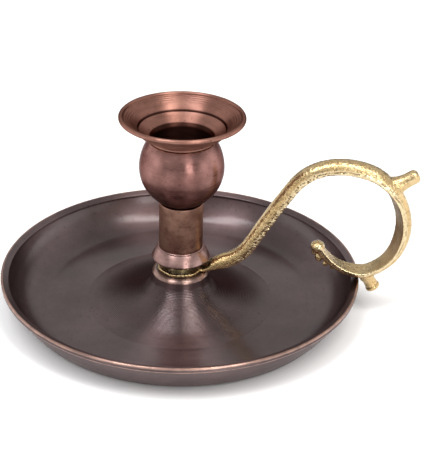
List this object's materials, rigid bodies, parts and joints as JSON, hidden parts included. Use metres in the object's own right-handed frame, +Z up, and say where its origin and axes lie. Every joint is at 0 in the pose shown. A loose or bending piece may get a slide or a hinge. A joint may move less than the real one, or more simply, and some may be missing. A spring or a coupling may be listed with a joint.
{
  "type": "chamber candlestick",
  "caption": "Low copper chamber candlestick: wide dish with a raised cone, short stem, round socket with a lift-out flared nozzle, and a cast brass scroll handle with a thumb spur.",
  "frame": {"origin": "on the table under the middle of the whole length, from the dish's edge to the tip of the thumb spur", "axes": "+X from the dish towards the handle, +Z up along the stem, +Y to the left when looking along +X"},
  "size_m": [0.16, 0.14, 0.0799],
  "materials": {
    "copper_dark": "spun copper with a dark purple-brown patina, satin, worn bright along the rim",
    "copper_red": "red-brown antiqued copper, satin, worn bright along the edges",
    "copper_brown": "brown mottled antiqued copper, satin",
    "brass_cast": "pale gold cast brass, grainy, polished along the edges",
    "steel": "plain turned steel"
  },
  "bodies": {
    "stand": {"drip_pan": "copper_dark", "handle": "brass_cast", "stem_spacer": "steel", "stem_collar": "copper_red", "stem_tube": "copper_brown", "candle_bulb": "copper_red", "bulb_washer": "steel", "tie_bolt": "steel", "pan_washer": "steel", "hex_nut": "steel"},
    "nozzle": {"nozzle": "copper_red"}
  },
  "joints": [
    {"name": "nozzle_lift", "type": "slide", "parent": "stand", "child": "nozzle", "axis": [0, 0, 1], "range_m": [0, 0.04]}
  ]
}
